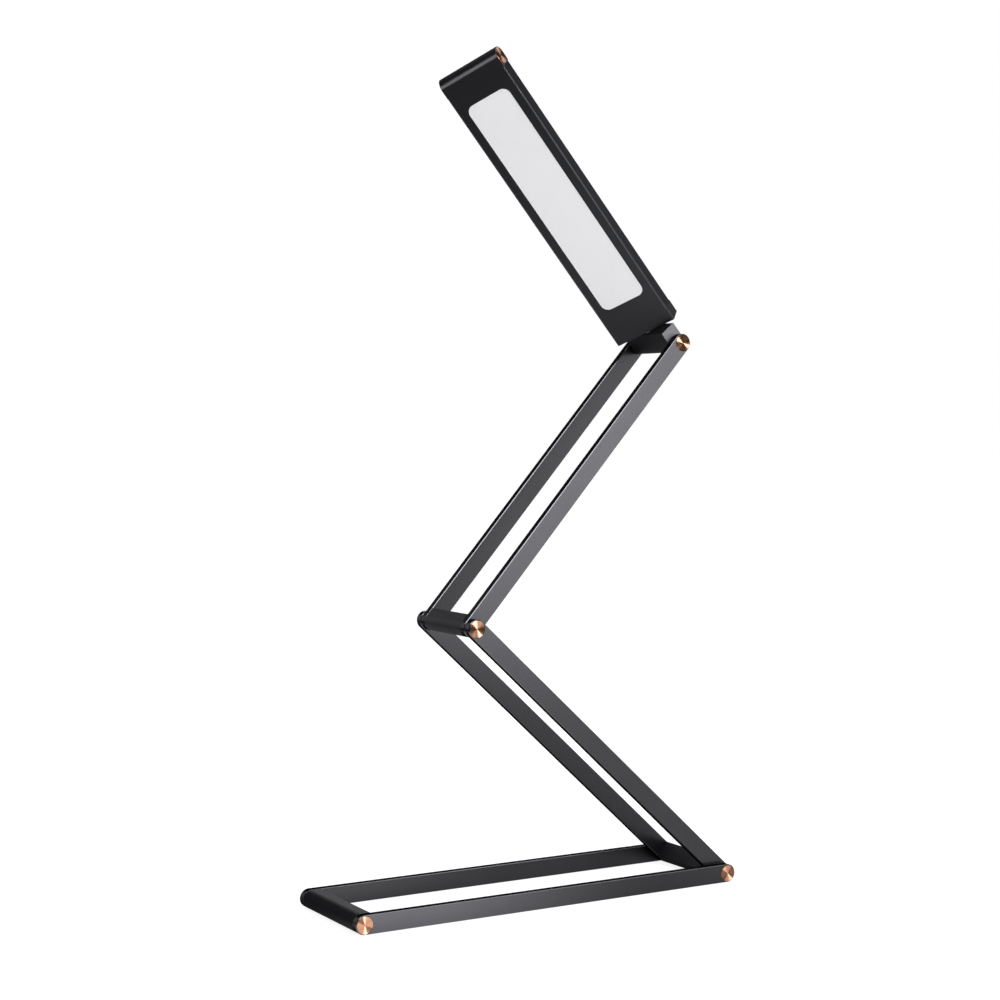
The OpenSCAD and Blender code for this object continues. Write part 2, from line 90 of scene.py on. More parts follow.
class Graph:
    """Short calls that add nodes to a material's or the world's tree."""

    def __init__(self, tree):
        self.tree = tree
        tree.nodes.clear()

    def node(self, kind, values=None, **settings):
        made = self.tree.nodes.new("ShaderNode" + kind)
        for name, value in settings.items():
            setattr(made, name, value)
        for name, value in (values or {}).items():
            self.put(made.inputs[name], value)
        return made

    def put(self, socket, value):
        if isinstance(value, bpy.types.NodeSocket):
            self.tree.links.new(value, socket)
        else:
            socket.default_value = value

    def math(self, operation, *values):
        made = self.node("Math", operation=operation)
        for socket, value in zip(made.inputs, values):
            self.put(socket, value)
        return made.outputs[0]

    def vector(self, operation, *values):
        made = self.node("VectorMath", operation=operation)
        for socket, value in zip(made.inputs, values):
            self.put(socket, value)
        return made.outputs["Value" if operation in ("DOT_PRODUCT", "LENGTH") else "Vector"]

    def mix(self, share, a, b):
        made = self.node("Mix", data_type="RGBA")
        for number, value in ((0, share), (6, a), (7, b)):
            self.put(made.inputs[number], value)
        return made.outputs[2]

    def step(self, value, low, high):
        """0 at low, 1 at high, smooth between them"""
        made = self.node("MapRange", {"Value": value, "From Min": low, "From Max": high},
                         interpolation_type="SMOOTHSTEP")
        return made.outputs["Result"]

    def spread(self, value, low, high):
        """A value of 0 to 1 brought to the range from low to high"""
        return self.node("MapRange", {"Value": value, "To Min": low, "To Max": high}).outputs["Result"]

    def place(self):
        return self.node("TexCoord").outputs["Object"]

    def own(self):
        """A piece's own drawing, before it was put in place"""
        return self.node("Attribute", attribute_name="own").outputs["Vector"]

    def along(self, axis):
        """Distance in metres from the top hinge along one of the head's axes"""
        return self.vector("DOT_PRODUCT", self.vector("SUBTRACT", self.place(), TOP_HINGE), axis)

    def within(self, value, low, high, soft):
        """1 between low and high, 0 outside, with edges this soft"""
        return self.math("MULTIPLY", self.step(value, low - soft, low + soft),
                         self.step(value, high + soft, high - soft))

    def repeat(self, value, first, pitch):
        """Where a value falls within its turn of a repeat, from 0 to 1"""
        return self.math("FRACT", self.math("DIVIDE", self.math("SUBTRACT", value, first), pitch))

    def normal(self):
        return self.node("TexCoord").outputs["Normal"]

    def facing(self, axis):
        """How far a face looks along an axis, whichever way: 1 for straight along it, 0 for across"""
        return self.math("ABSOLUTE", self.vector("DOT_PRODUCT", self.normal(), axis))

    def noise(self, size, detail=2.0, stretch=(1, 1, 1), seed=0.0):
        """Noise with patches of about this size in metres, longer along an axis where stretch is above 1"""
        spot = self.node("Mapping", {"Vector": self.place(), "Location": (seed, seed, seed),
                                     "Scale": tuple(1 / s for s in stretch)})
        return self.node("TexNoise", {"Vector": spot.outputs[0], "Scale": 1 / size,
                                      "Detail": detail}).outputs["Fac"]


# Blue over red in the lamp's greys
BLUE = 1.08
NEUTRAL = 1.0


def grey(value, blue=BLUE):
    return (value, value, value * blue, 1)


def surface(g, shader):
    """This shader as the tree's output"""
    g.put(g.node("OutputMaterial").inputs["Surface"], shader.outputs[0])


def shade(g, colour, **values):
    """A Principled surface as the tree's output"""
    values = {name.replace("_", " "): value for name, value in values.items()}
    surface(g, g.node("BsdfPrincipled", {"Base Color": colour, **values}))


def material(name, build):
    made = bpy.data.materials.new(name)
    made.use_nodes = True
    build(Graph(made.node_tree))
    return made


def paint(finish, *names):
    """Gives CAD nodes this material"""
    for name in names:
        for slot in NODES[name].material_slots:
            slot.material = finish


def bump(g, height, strength, depth):
    return g.node("Bump", {"Height": height, "Strength": strength, "Distance": depth}).outputs[0]


def grain(g, size, depth):
    """Fine bump like a blasted surface"""
    return bump(g, g.noise(size, 3), 0.4, depth)


def clouded(g, cloud, level, spread=0.08, blue=BLUE):
    """A dark tone with faint clouds"""
    return g.mix(cloud, grey(level * (1 - spread), blue), grey(level * (1 + spread), blue))


# Levels of the frames' anodised aluminium, and how much of it is left at grazing angles
RAIL_LEVEL = 0.078
RAIL_ROUGH, RAIL_EDGE_ROUGH = 0.24, 0.3
BAR_ROUGH, BAR_EDGE_ROUGH = 0.5, 0.4
EDGE_TINT = 0.15
BAR_TINT = 0.45

# Patterns in that finish: how large the clouds, blotches, worn patches and grain are, and what they change
CLOUD_SIZE = 0.03
BLOTCH_SIZE, BLOTCH_ROUGH = 0.012, 0.03
WEAR_SIZE, WEAR_SHARES = 0.004, (0.7, 1.15)
GRAIN = (0.0004, 0.000012)

# Limits of the masks, as the part of a face's normal that lies along an axis
CHAMFER_SIDE = (0.3, 0.5)
CHAMFER_FRONT = (0.95, 0.85)
STRAIGHT_RUN = (0.66, 0.69)
INNER_SIDE = (-0.85, -0.97)
END_SIDE = (0.9, 0.97)
HEAD_FRONT = (0.5, 0.6)
LIT_SIDE = (0.97, 0.99)


def chamfer_side(g, axis):
    """1 on faces that look partly along an axis, 0 on those that look straight along or across it"""
    share = g.facing(axis)
    return g.math("MULTIPLY", g.step(share, *CHAMFER_SIDE), g.step(share, *CHAMFER_FRONT))


def hinge_chamfer(g, length):
    """1 on the chamfers along a bar that points this way, 0 on its flat faces and round ends"""
    rise = g.facing(Vector((-length.z, 0, length.x)).normalized())
    return g.math("MULTIPLY", g.step(rise, *STRAIGHT_RUN), chamfer_side(g, Y_AXIS))


def head_chamfer(g):
    """1 on the head's front chamfers"""
    front = g.vector("DOT_PRODUCT", g.normal(), HEAD_Z)
    return g.math("MULTIPLY", g.step(front, *HEAD_FRONT), chamfer_side(g, HEAD_Y))


def inner_face_shade(g):
    """1 on faces of a frame's rails that look at the other rail, 0 elsewhere: where painted shade darkens
    the rails
    """
    normal = g.vector("DOT_PRODUCT", g.normal(), Y_AXIS)
    side = g.math("SIGN", g.vector("DOT_PRODUCT", g.place(), Y_AXIS))
    return g.step(g.math("MULTIPLY", normal, side), *INNER_SIDE)


def end_face(g):
    """1 on faces that look along the hinge axis"""
    return g.step(g.facing(Y_AXIS), *END_SIDE)


def anodised(g, level, rough, edge, edge_level, edge_rough, seed=0.0, inner=1.0, side=None, tint=EDGE_TINT):
    """Blasted and anodised aluminium: fine grain, faint clouds, and cut edges that shine more. inner is how
    bright the inner faces are beside the rest, which paints shade on them, and side a level of their own for
    the end faces."""
    cloud = g.noise(CLOUD_SIZE, 2, seed=seed)
    tone = clouded(g, cloud, level)
    if inner < 1:
        tone = g.mix(inner_face_shade(g), tone, clouded(g, cloud, level * inner))
    if side is not None:
        tone = g.mix(end_face(g), tone, clouded(g, cloud, side))
    blotch = g.spread(g.noise(BLOTCH_SIZE, 3, seed=seed), -BLOTCH_ROUGH, BLOTCH_ROUGH)
    roughness = g.math("ADD", blotch, rough)
    worn = g.math("MULTIPLY", edge, g.spread(g.noise(WEAR_SIZE, 3, seed=seed), *WEAR_SHARES))
    tone = g.mix(worn, tone, grey(edge_level))
    roughness = g.math("ADD", roughness, g.math("MULTIPLY", edge, edge_rough - rough))
    shade(g, tone, Metallic=1.0, Roughness=roughness, Specular_Tint=grey(tint, NEUTRAL),
          Normal=grain(g, *GRAIN))


def rail_finish(name, length, level, edge_level, inner, seed):
    return material(name, lambda g: anodised(g, RAIL_LEVEL * level, RAIL_ROUGH, hinge_chamfer(g, length),
                                             edge_level, RAIL_EDGE_ROUGH, seed, inner))


def bar_finish(name, length, level, edge_level, seed, side=None):
    return material(name, lambda g: anodised(g, level, BAR_ROUGH, hinge_chamfer(g, length), edge_level,
                                             BAR_EDGE_ROUGH, seed, side=side, tint=BAR_TINT))


def dress_frames():
    # The arms share one finish, and their levels differ as painted light and shade, making one arm brighter
    # than another
    lower, upper = BASE_HINGE - MID_HINGE, TOP_HINGE - MID_HINGE
    # The fifth column darkens the faces of each arm's rails that look at the other rail: painted shade
    for arm, length, level, edge_level, inner, seed in (("base", X_AXIS, 1.3, 0.3, 1.0, 1.0),
                                                        ("lower", lower, 1.45, 0.12, 0.75, 2.0),
                                                        ("upper", upper, 1.38, 0.25, 0.46, 3.0)):
        paint(rail_finish(arm + "_rail_satin", length, level, edge_level, inner, seed),
              arm + "_rail_front", arm + "_rail_back")
    paint(bar_finish("base_bar_black", X_AXIS, 0.03, 0.05, 4.0), "base_end_bar")
    paint(bar_finish("hinge_block_black", lower, 0.05, 0.06, 4.2), "lower_hinge_block")
    paint(bar_finish("upper_bar_black", upper, 0.115, 0.09, 4.5), "upper_cross_bar")
    paint(bar_finish("neck_satin", HEAD_X, 0.08, 0.1, 5.0, 0.16), "neck_block")


# The head's shell, and the paint of its lit side. On the plug and tip the tint dims their metal at grazing
# angles and the paint's reflection too, so the gloss there is higher.
SHELL_LEVEL, SHELL_ROUGH = 0.09, 0.45
SHELL_EDGE_LEVEL, SHELL_EDGE_ROUGH = 0.03, 0.36
FACE_LEVEL, FACE_SPREAD, FACE_BLUE = 0.007, 0.1, 1.5
FACE_GLOSS, FACE_ROUGH = 0.34, 0.4
END_GLOSS, END_TINT = 0.755, 0.45
PAINT_CLOUD_SIZE = 0.02
PAINT_BLOTCH_SIZE, PAINT_BLOTCH_ROUGH = 0.006, 0.04
PAINT_GRAIN = (0.0005, 0.00002)


def lit_side(g):
    """1 on flat faces that look the way the lit face looks"""
    return g.step(g.vector("DOT_PRODUCT", g.normal(), HEAD_Z), *LIT_SIDE)


def face_tone(g, cloud):
    return clouded(g, cloud, FACE_LEVEL, FACE_SPREAD, FACE_BLUE)


def end_black(g, seed, rough, level):
    """Paint like the face plate's on the lit side, and black metal elsewhere"""
    front = lit_side(g)
    cloud = g.noise(PAINT_CLOUD_SIZE, 2, seed=seed)
    tone = g.mix(front, clouded(g, cloud, level), face_tone(g, cloud))
    blotch = g.spread(g.noise(PAINT_BLOTCH_SIZE, 3, seed=seed), -PAINT_BLOTCH_ROUGH, PAINT_BLOTCH_ROUGH)
    shade(g, tone, Metallic=g.math("SUBTRACT", 1.0, front),
          Roughness=g.math("ADD", blotch, g.spread(front, rough, FACE_ROUGH)), Specular_IOR_Level=END_GLOSS,
          Specular_Tint=grey(END_TINT, NEUTRAL), Normal=grain(g, *PAINT_GRAIN))


def face_black(g):
    blotch = g.noise(PAINT_BLOTCH_SIZE, 3)
    shade(g, face_tone(g, g.noise(PAINT_CLOUD_SIZE, 2)), Specular_IOR_Level=FACE_GLOSS,
          Roughness=g.spread(blotch, FACE_ROUGH - PAINT_BLOTCH_ROUGH, FACE_ROUGH + PAINT_BLOTCH_ROUGH),
          Normal=grain(g, *PAINT_GRAIN))


def opal(g):
    """Frosted light cover"""
    tone = g.mix(g.noise(0.02, 2), grey(0.8, 1.03), grey(0.83, 1.03))
    shade(g, tone, Roughness=g.spread(g.noise(0.003, 3), 0.5, 0.58), Normal=grain(g, 0.0003, 0.00001))


def shell_black(g):
    anodised(g, SHELL_LEVEL, SHELL_ROUGH, head_chamfer(g), SHELL_EDGE_LEVEL, SHELL_EDGE_ROUGH, 6.0)


def dress_head():
    paint(material("head_shell_black", shell_black), "head_shell")
    paint(material("head_plug_black", lambda g: end_black(g, 7.0, 0.45, 0.045)), "head_end_plug")
    paint(material("head_tip_black", lambda g: end_black(g, 8.0, 0.3, 0.09)), "head_tip_bar")
    paint(material("face_black_satin", face_black), "head_face_plate")
    paint(material("diffuser_opal", opal), "diffuser")


def steel(g):
    """Turned steel with fine mottled tool marks"""
    tone = g.mix(g.noise(0.002, 3), grey(0.5), grey(0.58))
    shade(g, tone, Metallic=1.0, Roughness=g.spread(g.noise(0.001, 3), 0.25, 0.4),
          Normal=grain(g, 0.0003, 0.00002))


def drawn_steel(g):
    """Sheet steel with drawing marks along the head's width"""
    marks = g.node("Mapping", {"Vector": g.node("CombineXYZ", {
        0: g.along(HEAD_X), 1: g.math("MULTIPLY", g.along(HEAD_Y), 0.05), 2: g.along(HEAD_Z)}).outputs[0]})
    streak = g.node("TexNoise", {"Vector": marks.outputs[0], "Scale": 5000, "Detail": 3}).outputs["Fac"]
    shade(g, g.mix(streak, grey(0.42), grey(0.56)), Metallic=1.0, Roughness=g.spread(streak, 0.22, 0.36),
          Normal=bump(g, streak, 0.3, 0.00002))


def black_oxide(g):
    """Blackened screw steel, worn brighter on its edges"""
    worn = g.step(g.node("NewGeometry").outputs["Pointiness"], 0.52, 0.6)
    tone = g.mix(g.noise(0.001, 3), grey(0.03), grey(0.045))
    tone = g.mix(g.math("MULTIPLY", worn, 0.6), tone, grey(0.25))
    shade(g, tone, Metallic=1.0, Roughness=g.spread(g.noise(0.0006, 3), 0.28, 0.42),
          Normal=grain(g, 0.0003, 0.00001))


def contact_gold(g):
    tone = g.mix(g.noise(0.0005, 2), (0.75, 0.5, 0.18, 1), (0.85, 0.6, 0.24, 1))
    shade(g, tone, Metallic=1.0, Roughness=g.spread(g.noise(0.0003, 2), 0.2, 0.35))


def plastic(g, level, rough):
    tone = g.mix(g.noise(0.003, 2), grey(level * 0.9), grey(level * 1.1))
    shade(g, tone, Roughness=g.spread(g.noise(0.001, 3), rough - 0.05, rough + 0.05),
          Normal=grain(g, 0.0003, 0.00002))


# Where the tape, the pads and the LEDs are, along or across the head
TAPE_ENDS = (59 * MM, 67 * MM)
PAD_EDGE = (14.4 * MM, 14.5 * MM)
PAD_PITCH = 2 * MM
LED_FIRST, LED_PITCH = 32 * MM, 5.5 * MM
LED_EDGE = (15.95 * MM, 15.9 * MM)


def pouch_foil(g):
    """Laminated foil of the battery, creased, with an amber tape over its terminals"""
    crease = g.noise(0.004, 4, stretch=(1, 3, 1))
    tape = g.within(g.along(HEAD_X), *TAPE_ENDS, 0.1 * MM)
    tone = g.mix(crease, grey(0.5), grey(0.62))
    tone = g.mix(tape, tone, g.mix(crease, (0.42, 0.19, 0.02, 1), (0.5, 0.25, 0.03, 1)))
    shade(g, tone, Metallic=g.spread(tape, 1.0, 0.0), Roughness=g.spread(crease, 0.28, 0.4),
          Normal=bump(g, crease, 0.5, 0.0002))


def board_mask(g):
    """Green solder mask over copper tracks, with bare pads along both long edges"""
    u, v = g.along(HEAD_X), g.along(HEAD_Y)
    flat = g.node("CombineXYZ", {0: u, 1: v}).outputs[0]
    track = g.node("TexBrick", {"Vector": flat, "Scale": 160, "Mortar Size": 0.03}).outputs["Fac"]
    edge = g.step(g.math("ABSOLUTE", v), *PAD_EDGE)
    pad = g.math("MULTIPLY", edge, g.within(g.repeat(u, 0, PAD_PITCH), 0.2, 0.8, 0.04))
    tone = g.mix(track, (0.008, 0.075, 0.03, 1), (0.02, 0.15, 0.05, 1))
    tone = g.mix(pad, tone, (0.7, 0.5, 0.2, 1))
    shade(g, tone, Metallic=pad, Roughness=g.spread(g.noise(0.002, 2), 0.28, 0.38),
          Normal=bump(g, track, 0.5, 0.00003))


def led_strip(g):
    """White strip board with yellow phosphor on each LED"""
    turn = g.repeat(g.along(HEAD_X), LED_FIRST, LED_PITCH)
    lens = g.math("MULTIPLY", g.within(turn, 0.09, 0.45, 0.01), g.step(g.along(HEAD_Y), *LED_EDGE))
    tone = g.mix(g.noise(0.002, 2), grey(0.74, 0.99), grey(0.8, 0.99))
    tone = g.mix(lens, tone, (0.72, 0.5, 0.06, 1))
    shade(g, tone, Roughness=g.spread(lens, 0.42, 0.2), Normal=grain(g, 0.0004, 0.00001))


def acrylic(g):
    """Clear sheet with dots on its back that send the light out"""
    flat = g.node("CombineXYZ", {0: g.along(HEAD_X), 1: g.along(HEAD_Y)}).outputs[0]
    dot = g.node("TexVoronoi", {"Vector": flat, "Scale": 900, "Randomness": 0.0}).outputs["Distance"]
    dots = g.step(dot, 0.32, 0.26)
    shade(g, g.mix(dots, grey(0.9, 1.01), grey(0.97, 1.0)), Roughness=g.spread(dots, 0.06, 0.5),
          Transmission_Weight=0.85, IOR=1.49)


def film_white(g):
    tone = g.mix(g.noise(0.01, 2), grey(0.84, 1.0), grey(0.88, 1.0))
    shade(g, tone, Roughness=g.spread(g.noise(0.001, 3), 0.4, 0.5), Normal=grain(g, 0.0005, 0.00001))


def dress_hidden():
    paint(material("axle_steel_turned", steel), "base_end_screws", "base_hinge_axle", "lower_block_dowels",
          "mid_hinge_axle", "upper_bar_dowels", "top_hinge_axle", "swivel_stud", "swivel_nut",
          "swivel_spring_washer")
    paint(material("washer_plastic_pale", lambda g: plastic(g, 0.7, 0.5)), "base_hinge_washers",
          "mid_hinge_washers", "top_hinge_washers", "swivel_washer")
    paint(material("switch_plastic_black", lambda g: plastic(g, 0.02, 0.5)), "push_switch")
    paint(material("socket_steel_drawn", drawn_steel), "charging_socket")
    paint(material("pouch_foil", pouch_foil), "battery")
    paint(material("board_mask_green", board_mask), "control_board")
    paint(material("led_strip_white", led_strip), "led_board")
    paint(material("guide_acrylic", acrylic), "light_guide")
    paint(material("reflector_film_white", film_white), "reflector_sheet")


# Edges that turn more than this stay sharp
SHARP_ANGLE = 35

# The turned copper caps
CAP_RADIUS = 4.65 * MM
CAP_CHAMFER = 0.15 * MM
CAP_DISH = 0.12 * MM
CAP_POCKET = 1 * MM
CAP_PROUD = 0.15 * MM
CAP_STEM_RADIUS = 1 * MM
CAP_STEM = 1.2 * MM
GROOVES = 20
GROOVE_DEPTH = 0.036 * MM
CAP_STEPS = 96
HEAD_TIP = TOP_HINGE + HEAD_X * 185.8 * MM
BASE_END = Vector((-BASE_HINGE.x, 0, BASE_HINGE.z))
BASE_OUT, LOWER_OUT, UPPER_OUT, HEAD_HALF = 33.75 * MM, 28.75 * MM, 23.75 * MM, 18.75 * MM
CAP_PLACES = (("base_end", BASE_END, HINGE_AXES, BASE_OUT, "base"),
              ("base_hinge", BASE_HINGE, HINGE_AXES, BASE_OUT, "base"),
              ("mid_hinge", MID_HINGE, HINGE_AXES, LOWER_OUT, "lower_arm"),
              ("top_hinge", TOP_HINGE, HINGE_AXES, UPPER_OUT, "upper_arm"),
              ("head_end", HEAD_TIP, HEAD_SIDE_AXES, HEAD_HALF, "head"))


def cap_profile():
    """Radius and height pairs of a turned cap, from the stem's end to the middle of its face"""
    top = CAP_POCKET + CAP_PROUD
    rim = CAP_RADIUS - CAP_CHAMFER
    points = [(0, -CAP_STEM), (CAP_STEM_RADIUS, -CAP_STEM), (CAP_STEM_RADIUS, 0), (CAP_RADIUS, 0),
              (CAP_RADIUS, top - CAP_CHAMFER), (rim, top)]
    steps = GROOVES * 4
    for i in range(1, steps):
        share = 1 - i / steps
        groove = GROOVE_DEPTH * 0.5 * (1 - math.cos(2 * math.pi * share * GROOVES))
        points.append((rim * share, top - CAP_DISH * (1 - share) - groove))
    points.append((0, top - CAP_DISH))
    return points


def hexagon(turn):
    """Radius at an angle of a hexagon whose flats lie 1 from its middle"""
    return 1 / math.cos((turn + math.pi / 6) % (math.pi / 3) - math.pi / 6)


def circle(turn):
    return 1


def lathe(points, steps):
    """Vertices and faces of a profile turned about Z. Each point of it is a radius, a height and an outline,
    which is round where none is given. A radius of 0 is one vertex."""
    verts, rings = [], []
    for radius, height, *form in points:
        if radius == 0:
            rings.append([len(verts)] * steps)
            verts.append((0, 0, height))
            continue
        rings.append(list(range(len(verts), len(verts) + steps)))
        outline = form[0] if form else circle
        for t in (2 * math.pi * k / steps for k in range(steps)):
            reach = radius * outline(t)
            verts.append((reach * math.cos(t), reach * math.sin(t), height))
    faces = []
    for low, high in zip(rings, rings[1:]):
        for k in range(steps):
            corners = (low[k], low[(k + 1) % steps], high[(k + 1) % steps], high[k])
            faces.append(tuple(dict.fromkeys(corners)))
    return verts, faces


def place_piece(name, verts, faces, at, axes, finish):
    """A mesh drawn in its own axes and put at its place. Its attribute own keeps the drawing."""
    mesh = bpy.data.meshes.new(name)
    mesh.from_pydata(verts, [], faces)
    own = mesh.attributes.new("own", "FLOAT_VECTOR", "POINT")
    own.data.foreach_set("vector", np.array(verts, np.float32).ravel())
    mesh.transform(Matrix.Translation(at) @ Matrix(axes).transposed().to_4x4())
    mesh.materials.append(finish)
    mesh.shade_smooth()
    mesh.set_sharp_from_angle(angle=math.radians(SHARP_ANGLE))
    piece = bpy.data.objects.new(name, mesh)
    bpy.context.scene.collection.objects.link(piece)
    return piece


def cap_pair(name, node, at, axes, outer, body, finish):
    """Two caps on one axis, each with its face outwards, in place of the CAD node"""
    verts, faces = lathe(cap_profile(), CAP_STEPS)
    foot = outer - CAP_POCKET
    both = [(x, y, z + foot) for x, y, z in verts] + [(x, -y, -z - foot) for x, y, z in verts]
    count = len(verts)
    both_faces = faces + [tuple(i + count for i in face) for face in faces]
    piece = place_piece(name, both, both_faces, at, axes, finish)
    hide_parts(node)
    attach(piece, body)


def copper(g):
    """Turned copper, darker round its rim"""
    place = g.node("SeparateXYZ", {0: g.own()})
    radius = g.math("SQRT", g.math("ADD", g.math("MULTIPLY", place.outputs[0], place.outputs[0]),
                                   g.math("MULTIPLY", place.outputs[1], place.outputs[1])))
    tone = g.mix(g.noise(0.002, 3), (0.47, 0.235, 0.15, 1), (0.53, 0.27, 0.175, 1))
    tone = g.mix(g.step(radius, 4.35 * MM, 4.6 * MM), tone, (0.16, 0.075, 0.045, 1))
    shade(g, tone, Metallic=1.0, Roughness=g.spread(g.noise(0.0005, 2), 0.14, 0.2))


def add_caps():
    finish = material("copper_turned", copper)
    for name, at, axes, outer, body in CAP_PLACES:
        cap_pair(name + "_cap_pair", name + "_caps", at, axes, outer, body, finish)


def joined(parts):
    """Many lists of vertices and faces as one"""
    verts, faces = [], []
    for more, sides in parts:
        faces += [tuple(i + len(verts) for i in side) for side in sides]
        verts += more
    return verts, faces


def scaled(points):
    """Millimetres to metres, with any outline kept"""
    return [(radius * MM, height * MM, *form) for radius, height, *form in points]


def head_piece(name, verts, faces, axes, finish, slot, body="head"):
    piece = place_piece(name, verts, faces, TOP_HINGE, axes, finish)
    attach(piece, body)
    return piece


# Back screws in millimetres: place along and across the head, and how far each is turned
SCREW_PLACES = ((22.3, -10, 0.3), (22.3, 10, 0.75), (177.8, -10, 0.1), (177.8, 10, 0.55))
HEAD_BACK = 5
SCREW_LENGTH = 4.2
SCREW_STEPS = 48
THREAD_PITCH = 0.4
THREAD_CREST, THREAD_ROOT = 0.99, 0.84
SOCKET_HALF, SOCKET_DEPTH = 0.65, 0.55


def screw_profile():
    """A countersunk M2 screw with a hexagon socket, its flat face at height 0"""
    points = [(0, -SCREW_LENGTH), (0.8, -SCREW_LENGTH), (0.98, 0.2 - SCREW_LENGTH)]
    height = 0.3 - SCREW_LENGTH
    while height < -1.3:
        points += [(THREAD_CREST, height), (THREAD_ROOT, height + THREAD_PITCH / 2)]
        height += THREAD_PITCH
    return points + [(THREAD_CREST, -1.2), (THREAD_CREST, -0.82), (1.77, -0.05), (1.74, 0),
                     (0.74, 0, hexagon), (SOCKET_HALF, -0.07, hexagon),
                     (SOCKET_HALF, -SOCKET_DEPTH, hexagon), (0, -0.75)]


def add_back_screws():
    finish = material("screw_black_oxide", black_oxide)
    verts, faces = lathe(scaled(screw_profile()), SCREW_STEPS)
    parts = []
    for x, y, turn in SCREW_PLACES:
        c, s = math.cos(turn), math.sin(turn)
        turned = [(c * a - s * b + x * MM, s * a + c * b - y * MM, z + HEAD_BACK * MM) for a, b, z in verts]
        parts.append((turned, faces))
    piece = head_piece("back_screw_set", *joined(parts), HEAD_BACK_AXES, finish, "axle_steel")
    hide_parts("head_back_screws")


# The power button in millimetres, with the socket beside it
BUTTON_X = 44.9
BUTTON_RADIUS = 3.5
BUTTON_EDGE = 0.15
BUTTON_STEPS = 72
FLANGE_RADIUS, FLANGE_LOW, FLANGE_TOP = 4.3, 3.12, 3.72
DISH_RADIUS = 2.86


def button_profile():
    """Dished press button with a soft edge, a fine ring groove and the flange that keeps it in"""
    points = [(0, FLANGE_LOW), (FLANGE_RADIUS, FLANGE_LOW), (FLANGE_RADIUS, FLANGE_TOP),
              (BUTTON_RADIUS, FLANGE_TOP)]
    for i in range(7):
        turn = math.radians(15 * i)
        points.append((BUTTON_RADIUS - BUTTON_EDGE + BUTTON_EDGE * math.cos(turn),
                       5.05 + BUTTON_EDGE * math.sin(turn)))
    points += [(3.1, 5.19), (3.03, 5.12), (2.93, 5.12), (DISH_RADIUS, 5.18)]
    for i in range(1, 13):
        share = 1 - i / 12
        points.append((DISH_RADIUS * share, 5.1 + 0.08 * share * share))
    return points


def add_button():
    verts, faces = lathe(scaled(button_profile()), BUTTON_STEPS)
    verts = [(x + BUTTON_X * MM, y, z) for x, y, z in verts]
    finish = material("button_plastic_black", lambda g: plastic(g, 0.022, 0.4))
    piece = head_piece("power_button_cap", verts, faces, HEAD_BACK_AXES, finish, "button_plastic",
                       "power_button")
    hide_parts("power_button")


CONTACT_PITCH = 0.8
CONTACT_ENDS = (13.5, 17.9)
CONTACT_RISE = 0.05
TONGUE_Z, TONGUE_HALF = -2.1, 0.34


def pad(x, y0, y1, z, rise):
    """A thin contact with bevelled sides, on a face that looks along +Z or -Z"""
    half, bevel = 0.2, 0.04
    low = [(x - half, y0), (x + half, y0), (x + half, y1), (x - half, y1)]
    high = [(x - half + bevel, y0 + bevel), (x + half - bevel, y0 + bevel),
            (x + half - bevel, y1 - bevel), (x - half + bevel, y1 - bevel)]
    verts = [(a * MM, b * MM, z * MM) for a, b in low]
    verts += [(a * MM, b * MM, (z + rise) * MM) for a, b in high]
    faces = [(3, 2, 1, 0), (4, 5, 6, 7)] + [(k, (k + 1) % 4, (k + 1) % 4 + 4, k + 4) for k in range(4)]
    return verts, faces if rise > 0 else [tuple(reversed(face)) for face in faces]


def add_contacts():
    """Six contacts on each side of the charging socket's tongue"""
    parts = [pad(BUTTON_X + CONTACT_PITCH * (i - 2.5), *CONTACT_ENDS, TONGUE_Z + side * TONGUE_HALF,
                 side * CONTACT_RISE)
             for side in (-1, 1) for i in range(6)]
    finish = material("contact_gold", contact_gold)
    head_piece("socket_contacts", *joined(parts), HEAD_AXES, finish, "socket_steel")


# Levels of the sky and the floor
AMBIENT = 0.58
WHITE = 1.0
FLOOR_HALF = 6
FLOOR_BOUNCE = 0.8
FLOOR_SHADE = 0.3
FLOOR_GLOW = 0.86

# What metal sees of the floor: a painted pool of light by the base's end, and a dim level round it
POOL_AT = Vector((-0.1, -0.15, 0))
POOL_SIZES = (0.2, 0.03)
POOL_LEVELS = (0.12, 1.9)

# The dark cloth on the floor and up round the set, with a glowing patch of painted light far out in front on
# the right
CLOTH_RADIUS = 0.6
CURTAIN_RADIUS = 2.0
CURTAIN_HEIGHT = 2.6
CURTAIN_STEPS = 48
CLOTH_RISE = 0.003
LEFT_CLOTH_NEAR, LEFT_CLOTH_FAR, LEFT_CLOTH_HALF, LEFT_CLOTH_RISE = -0.3, -1.3, 0.7, 0.002
PATCH_AT = Vector((0.55, -1.02, 0))
PATCH_SIZES = (0.45, 0.2)
PATCH_LEVELS = (0.06, 1.0)

# Soft lamps: name, place, what they aim at, width, height and watts
MIDDLE = (0, 0, 0.2)
UPPER_MIDDLE = (0.03, 0, 0.36)
LAMPS = (("key_light", (0.45, -1.1, 0.52), MIDDLE, 0.35, 0.35, 2.2),
         ("left_key", (0.2, -1.12, 0.65), MIDDLE, 0.35, 0.35, 3.0),
         ("tall_strip", (0.36, -1.12, 0.45), MIDDLE, 0.15, 0.5, 1.2),
         ("front_panel", (0.69, -1.0, 0.36), UPPER_MIDDLE, 1.0, 0.68, 3.3),
         ("top_left_light", (-0.6, -0.6, 1.2), MIDDLE, 0.5, 0.5, 3.0),
         ("right_light", (0.95, 0.2, 0.72), (0.03, 0, 0.37), 0.5, 0.5, 1.5),
         ("back_light", (-0.6, 1.1, 0.5), MIDDLE, 0.5, 0.9, 1.0),
         ("rim_light", (0.35, 1.05, 0.35), MIDDLE, 0.5, 0.35, 2.9),
         ("back_panel", (0.8, 0.9, 0.4), UPPER_MIDDLE, 0.9, 0.68, 3.0))
TIP_CARD = ("tip_card", (-0.95, -0.15, 0.22), (-0.03, 0, 0.44), 0.3, 0.7, 1.7)


